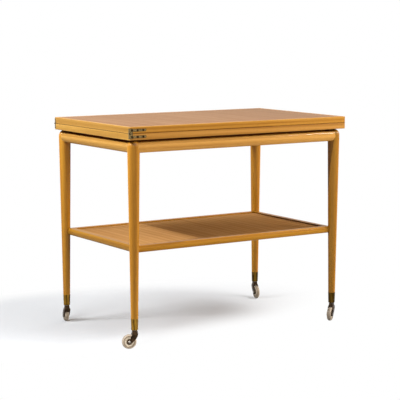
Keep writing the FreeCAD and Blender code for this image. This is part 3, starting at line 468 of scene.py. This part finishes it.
for corner, (side_x, side_y, trail_angle) in CORNERS.items():
    tones = shaded(LEG, LEG_SHADE[corner])
    leg_wood = wood("leg_wood_" + corner, "Z", *tones, coat=0.28, coat_rough=0.12, **LEG_STYLE)
    leg_crown = wood("leg_crown_" + corner, "Z", *tones, coat=1.0, coat_rough=0.04, **LEG_STYLE)
    dress("leg_" + corner, leg_wood, leg_crown)
    second_material("leg_" + corner, on_crown)
    tones = shaded(FERRULE, FERRULE_SHADE[corner])
    dress("ferrule_" + corner, metal("aged_brass_" + corner, *tones, 0.30, 160.0, "Z", streak=0.06))
    dress("caster_fork_" + corner, bronze)
    dress("caster_axle_" + corner, bright_steel)
    cosine, sine = math.cos(math.radians(trail_angle)), math.sin(math.radians(trail_angle))
    centre = (side_x * LEG_X + TRAIL * cosine, side_y * LEG_Y + TRAIL * sine, WHEEL_RADIUS)
    axle = (-sine, cosine, 0.0)
    for piece, stuff, rings, rough in WHEEL_PIECES:
        # Wheel rings made darker or lighter per corner: painted light and shade.
        shaded_rings = [(ring, tuple(part * WHEEL_SHADE[corner] * tint for part, tint in zip(colour, WHEEL_TINT)))
                for ring, colour in rings]
        dress(piece + corner, turned(stuff + corner, centre, axle, shaded_rings, rough))


# ---------------------------------------------------------------- fine lines in the joints

def in_scene(name, mesh, material):
    """New object of one material, linked into the scene."""
    mesh.materials.append(material)
    obj = bpy.data.objects.new(name, mesh)
    bpy.context.scene.collection.objects.link(obj)
    return obj


def faces_mesh(name, corners, faces):
    mesh = bpy.data.meshes.new(name)
    mesh.from_pydata(corners, [], faces)
    return mesh


def joint_line(node, side):
    """Dark line of old polish along the outline of a let-in plate and round its screw holes."""
    source = frame["nodes"][node]
    shape = bmesh.new()
    shape.from_mesh(source.data)
    hidden = [face for face in shape.faces
              if face.normal.y * side < PLATE_FACING
              or abs(face.calc_center_median().y * side - HALF_WIDTH) > PLATE_TOLERANCE]
    bmesh.ops.delete(shape, geom=hidden, context="FACES")
    bmesh.ops.remove_doubles(shape, verts=shape.verts, dist=WELD_REACH)
    flat = shape.faces[:]
    bmesh.ops.inset_region(shape, faces=flat, thickness=PLATE_LINE_WIDTH, use_boundary=True,
                           use_even_offset=True)
    bmesh.ops.delete(shape, geom=[face for face in flat if face.is_valid], context="FACES")
    bmesh.ops.translate(shape, verts=shape.verts, vec=(0.0, side * LINE_PROUD, 0.0))
    mesh = bpy.data.meshes.new(node + "_line")
    shape.to_mesh(mesh)
    shape.free()
    line = in_scene(node + "_line", mesh, joint_dirt_and_shade)
    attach(line, body_of(source)[0])


def mitre_line(corner):
    """Painted shade: a dark line on the head of a leg, in the mitre crease where the roundings of its two
    aprons meet.
    """
    side_x, side_y, _ = CORNERS[corner]
    reach = LEG_TOP_RADIUS + MITRE_PROUD
    corners = []
    for turn, tilt, half_width in MITRE:
        for edge in (-half_width, half_width):
            around = math.radians(turn) + edge * MM / LEG_TOP_RADIUS
            level = math.radians(tilt)
            corners.append((side_x * (LEG_X + reach * math.cos(level) * math.cos(around)),
                            side_y * (LEG_Y + reach * math.cos(level) * math.sin(around)),
                            DOME_Z + reach * math.sin(level)))
    name = "mitre_line_" + corner
    faces = [(2 * k, 2 * k + 1, 2 * k + 3, 2 * k + 2) for k in range(len(MITRE) - 1)]
    line = in_scene(name, faces_mesh(name, corners, faces), mitre_shade)
    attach(line, body_of(frame["nodes"]["leg_" + corner])[0])


def leaf_seam(leaf, way):
    """Dark line along one leaf's rim, where it meets the other leaf: worn polish, with painted shade in
    the seam.
    """
    x = (TOP_SHIFT - HALF_LENGTH - LINE_PROUD, TOP_SHIFT + HALF_LENGTH + LINE_PROUD)
    y = HALF_WIDTH + LINE_PROUD
    rim = [(x[0], -y), (x[1], -y), (x[1], y), (x[0], y)]
    corners = [(*place, SEAM_Z + way * edge) for place in rim for edge in (LINE_PROUD, SEAM_WIDTH)]
    name = leaf + "_leaf_seam"
    faces = [(2 * k, (2 * k + 2) % 8, (2 * k + 3) % 8, 2 * k + 1) for k in range(4)]
    line = in_scene(name, faces_mesh(name, corners, faces), joint_dirt_and_shade)
    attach(line, body_of(frame["nodes"][leaf + "_leaf_edging"])[0])


for leaf in ("lower", "upper"):
    joint_line(leaf + "_hinge_plate_front", -1)
    joint_line(leaf + "_hinge_plate_back", 1)
for corner in CORNERS:
    mitre_line(corner)
leaf_seam("lower", -1)
leaf_seam("upper", 1)


# ---------------------------------------------------------------- small dark inner blocks, painted shade in the slot

def shade_block(name, low, high):
    """Dark stained block inside the frame, behind the aprons; it closes the view through the slot under
    the leaf, which then shows painted shade. Its corners are in millimetres.
    """
    corners = [(x * MM, y * MM, z * MM) for x in (low[0], high[0]) for y in (low[1], high[1])
               for z in (low[2], high[2])]
    block = in_scene(name, faces_mesh(name, corners, BLOCK_FACES), stained_y)
    soft = block.modifiers.new("soft_edges", "BEVEL")
    soft.width = BLOCK_BEVEL
    soft.segments = 2
    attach(block, body_of(frame["nodes"]["apron_left"])[0])


for name, (lowest, highest) in SHADE_BLOCKS.items():
    shade_block(name, lowest, highest)
for corner, (side_x, side_y, _) in CORNERS.items():
    x = sorted(side_x * edge for edge in CORNER_BLOCK_X)
    y = sorted(side_y * edge for edge in CORNER_BLOCK_Y)
    shade_block("corner_shade_block_" + corner, *zip(x, y, CORNER_BLOCK_Z))


# ---------------------------------------------------------------- floor and world

FLOOR_HALF = 12.0
FLOOR_LIGHT = (0.814, 0.822, 0.830)
FLOOR_DARK = (0.794, 0.802, 0.810)
FLOOR_BOUNCE = 0.33                 # share of the floor's colour that lights the trolley
PHOTO_RIGHT = (0.84, -0.54, 0.0)    # level direction towards the photograph's right
# The floor is darker by this shade from 0.72 m leftwards, where its lamps are near.
EVEN_FROM, EVEN_TO, EVEN_SHADE = -0.72, -0.42, 0.84
# Oval round the shadow, outside which the floor fades to white.
FADE_CENTRE = (-0.42, 0.31)
FADE_REACH = (1.13, 0.53)
FADE_START = 0.60
FADE_END = 1.04
GLOW_STRENGTH = 1.38
GLOW_TINT = (1.0, 0.92, 0.85)


def floor_material():
    """Pale floor that keeps the soft shadow near the trolley and fades to white away from it."""
    material, tree = new_tree("floor")
    place = object_place(tree)
    colour = ramp(tree, even_noise(tree, place, 3.0, 2.0), ((0.3, FLOOR_DARK), (0.7, FLOOR_LIGHT)))
    side = vector_node(tree, "DOT_PRODUCT", place, PHOTO_RIGHT, "Value")
    even = add(tree, "MapRange", {"Value": side, "From Min": EVEN_FROM, "From Max": EVEN_TO,
                                  "To Min": EVEN_SHADE, "To Max": 1.0}).outputs[0]
    colour = add(tree, "VectorMath", {0: colour, "Scale": even}, operation="SCALE").outputs[0]
    rays = add(tree, "LightPath")
    held_back = math_node(tree, "MULTIPLY", rays.outputs["Is Diffuse Ray"], 1 - FLOOR_BOUNCE)
    colour = mix_colour(tree, held_back, colour, (0.0, 0.0, 0.0))
    lit = add(tree, "BsdfDiffuse", {"Color": colour})
    white = add(tree, "Emission", {"Strength": 1.0})
    seen = math_node(tree, "MAXIMUM", rays.outputs["Is Camera Ray"], rays.outputs["Is Glossy Ray"])
    oval = stretched(tree, place, (1 / FADE_REACH[0], 1 / FADE_REACH[1], 0.0),
                     (-FADE_CENTRE[0] / FADE_REACH[0], -FADE_CENTRE[1] / FADE_REACH[1], 0.0))
    fade = add(tree, "MapRange", {"Value": length_of(tree, oval), "From Min": FADE_START,
                                  "From Max": FADE_END}, interpolation_type="SMOOTHSTEP").outputs[0]
    mixed = add(tree, "MixShader", {0: math_node(tree, "MULTIPLY", seen, fade), 1: lit.outputs[0],
                                    2: white.outputs[0]})
    return finish(material, tree, mixed)


def make_floor():
    rim = [(-FLOOR_HALF, -FLOOR_HALF, 0), (FLOOR_HALF, -FLOOR_HALF, 0), (FLOOR_HALF, FLOOR_HALF, 0),
           (-FLOOR_HALF, FLOOR_HALF, 0)]
    floor = in_scene("floor", faces_mesh("floor", rim, [(0, 1, 2, 3)]), floor_material())
    return floor


def make_world():
    """White to the camera and in reflections; as a light, a soft glow from the photograph's right."""
    world = bpy.data.worlds.new("studio")
    bpy.context.scene.world = world
    world.use_nodes = True
    tree = world.node_tree
    tree.nodes.clear()
    rays = add(tree, "LightPath")
    seen = math_node(tree, "MAXIMUM", rays.outputs["Is Camera Ray"], rays.outputs["Is Transmission Ray"])
    seen = math_node(tree, "MAXIMUM", seen, rays.outputs["Is Glossy Ray"])
    direction = add(tree, "TexCoord").outputs["Generated"]
    facing = vector_node(tree, "DOT_PRODUCT", direction, PHOTO_RIGHT, "Value")
    strength = math_node(tree, "MULTIPLY", math_node(tree, "MAXIMUM", facing, 0.0), GLOW_STRENGTH)
    room = add(tree, "Background", {"Color": (*GLOW_TINT, 1), "Strength": strength})
    white = add(tree, "Background", {"Color": (1, 1, 1, 1), "Strength": 1.0})
    mixed = add(tree, "MixShader", {0: seen, 1: room.outputs[0], 2: white.outputs[0]})
    tree.links.new(mixed.outputs[0], add(tree, "OutputWorld").inputs["Surface"])


# ---------------------------------------------------------------- lamps

LAMP_AIM = Vector((0.0, 0.0, 0.42))
COOL_TINT = (0.96, 1.0, 1.05)
WARM_TINT = (1.03, 0.985, 0.93)
FLOOR_TINT = (0.973, 1.0, 1.033)

# Name, place, size, power and tint. The key is small, so its shadow on the shelf has a clear edge.
TROLLEY_LAMPS = (
    ("key", (-2.5, -0.52, 2.8), (0.06, 0.06), 74, COOL_TINT),
    ("right", (3.01, -1.10, 1.25), (0.9, 1.5), 40, WARM_TINT),
    ("front_right", (2.45, -2.06, 1.25), (0.9, 1.5), 47, WARM_TINT),
    ("back_left", (-1.56, 1.56, 2.90), (1.0, 1.0), 20, COOL_TINT),
    ("left", (-2.45, 0.95, 2.85), (0.4, 0.4), 40, COOL_TINT),
    ("overhead", (0.0, 0.0, 2.6), (1.2, 1.2), 8, COOL_TINT),
    ("gleam", (2.6, -2.3, 2.7), (0.3, 0.3), 25, COOL_TINT),
)
LEG_LAMPS = (
    ("leg_left", (-2.45, 0.95, 2.85), (0.4, 0.4), 84, COOL_TINT),
)
CASTER_LAMPS = (
    ("caster_front", (-1.9, -2.9, 1.1), (1.2, 1.2), 45, COOL_TINT),
)
FLOOR_LAMPS = (
    ("floor_left", (-3.12, 0.55, 1.36), (1.3, 1.6), 113, FLOOR_TINT),
    ("floor_front_left", (-2.75, -1.59, 1.36), (1.3, 1.6), 74, FLOOR_TINT),
    ("floor_front", (1.42, -1.69, 2.90), (1.5, 1.5), 56, FLOOR_TINT),
    ("floor_right", (2.20, -0.19, 2.90), (1.5, 1.5), 12, FLOOR_TINT),
    ("floor_overhead", (0.0, 0.0, 2.6), (1.2, 1.2), 20, FLOOR_TINT),
)
# The other lamps are hidden from reflections, where large ones would show as white patches.
SEEN_IN_REFLECTIONS = ("key", "left", "gleam")
ONLY_IN_REFLECTIONS = ("gleam",)


def soft_lamp(name, place, size, power, tint, receivers):
    """Area lamp aimed at the trolley that lights one set of objects; every object shadows it."""
    light = bpy.data.lights.new(name, "AREA")
    light.shape = "RECTANGLE"
    light.size, light.size_y = size
    light.energy = power
    light.color = tint
    lamp = bpy.data.objects.new(name, light)
    lamp.location = place
    lamp.rotation_euler = (LAMP_AIM - Vector(place)).to_track_quat("-Z", "Y").to_euler()
    bpy.context.scene.collection.objects.link(lamp)
    lamp.light_linking.receiver_collection = receivers
    lamp.visible_glossy = name in SEEN_IN_REFLECTIONS
    lamp.visible_diffuse = name not in ONLY_IN_REFLECTIONS


def light_group(name, objects):
    group = bpy.data.collections.new(name)
    for obj in objects:
        group.objects.link(obj)
    return group


# ---------------------------------------------------------------- camera, fitted to the photograph

CAMERA_AZIMUTH = -32.862
CAMERA_ELEVATION = 7.584
CAMERA_AIM = Vector((0, 0, 0.375))
CAMERA_DISTANCE = 5.15882
CAMERA_RIGHT = 0.00118
CAMERA_UP = 0.07172
CAMERA_LENS = 127.596
CAMERA_SENSOR = 36.0
CAMERA_FAR = 60.0


def make_camera():
    azimuth, elevation = math.radians(CAMERA_AZIMUTH), math.radians(CAMERA_ELEVATION)
    back = Vector((math.sin(azimuth) * math.cos(elevation), -math.cos(azimuth) * math.cos(elevation),
                   math.sin(elevation)))
    right = (-back).cross(Vector((0, 0, 1))).normalized()
    up = right.cross(-back)
    data = bpy.data.cameras.new("camera")
    data.lens = CAMERA_LENS
    data.sensor_width = CAMERA_SENSOR
    data.sensor_fit = "HORIZONTAL"
    data.clip_end = CAMERA_FAR
    camera = bpy.data.objects.new("camera", data)
    turn = Matrix((right, up, back)).transposed().to_4x4()
    place = CAMERA_AIM + back * CAMERA_DISTANCE + right * CAMERA_RIGHT + up * CAMERA_UP
    camera.matrix_world = Matrix.Translation(place) @ turn
    bpy.context.scene.collection.objects.link(camera)
    bpy.context.scene.camera = camera


floor = make_floor()
make_world()
pieces = [obj for obj in bpy.context.scene.objects if obj.type == "MESH" and obj is not floor]
casters = [obj for obj in pieces if obj.name.startswith(("wheel", "tyre", "caster_"))]
legs = [obj for obj in pieces if obj.name.startswith("leg_")]
for lamps, group, objects in ((TROLLEY_LAMPS, "trolley_light", pieces), (LEG_LAMPS, "leg_light", legs),
                              (CASTER_LAMPS, "caster_light", casters),
                              (FLOOR_LAMPS, "floor_light", [floor])):
    receivers = light_group(group, objects)
    for lamp in lamps:
        soft_lamp(*lamp, receivers)
make_camera()
bpy.context.scene.view_settings.view_transform = "Standard"
